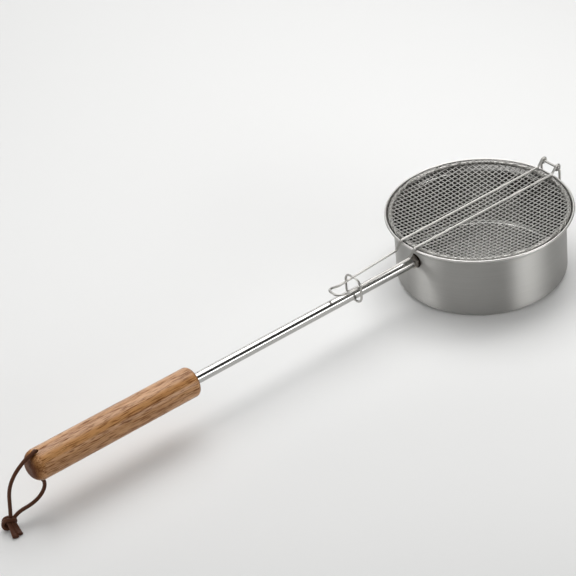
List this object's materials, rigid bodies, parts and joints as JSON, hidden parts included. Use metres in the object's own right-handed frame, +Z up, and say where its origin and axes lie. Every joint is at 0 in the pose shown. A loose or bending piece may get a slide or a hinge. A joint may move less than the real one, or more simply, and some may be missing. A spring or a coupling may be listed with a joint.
{
  "type": "campfire popcorn popper",
  "caption": "Long-handled steel pan with a hinged, dished lid of woven wire, a lock ring sliding on the handle, and a wooden grip with a leather hanging thong.",
  "frame": {"origin": "middle of the pan's flat base, on the surface that it stands on", "axes": "+Z up; the handle runs from the pan along -X, and the lid's hinge is at +X"},
  "size_m": [0.6186, 0.1716, 0.0765],
  "materials": {
    "pan_steel": "satin, brushed round the wall",
    "tube_steel": "polished",
    "boss_steel": "dull, darkened by welding",
    "wire_steel": "bright drawn wire",
    "cloth_steel": "woven stainless wire",
    "grip_wood": "sanded and oiled",
    "thong_leather": "round lace, waxed"
  },
  "bodies": {
    "pan": {"pan_body": "pan_steel", "handle_boss": "boss_steel", "handle_tube": "tube_steel", "grip": "grip_wood", "hinge_bracket": "wire_steel", "thong_in_grip": "thong_leather", "thong_upper": "thong_leather", "thong_lower": "thong_leather", "thong_knot": "thong_leather", "thong_tails": "thong_leather"},
    "lid": {"lid_frame": "wire_steel", "lid_hoop": "wire_steel", "lid_hem": "cloth_steel", "lid_warp_wires": "cloth_steel", "lid_weft_wires": "cloth_steel"},
    "ring": {"lock_ring": "wire_steel"}
  },
  "joints": [
    {"name": "lid_swing", "type": "hinge", "parent": "pan", "child": "lid", "pos_m": [0.089, 0, 0.07272], "axis": [0, 1, 0], "range_deg": [0, 190]},
    {"name": "ring_slide", "type": "slide", "parent": "pan", "child": "ring", "axis": [-1, 0, 0], "range_m": [-0.008, 0.176]}
  ]
}
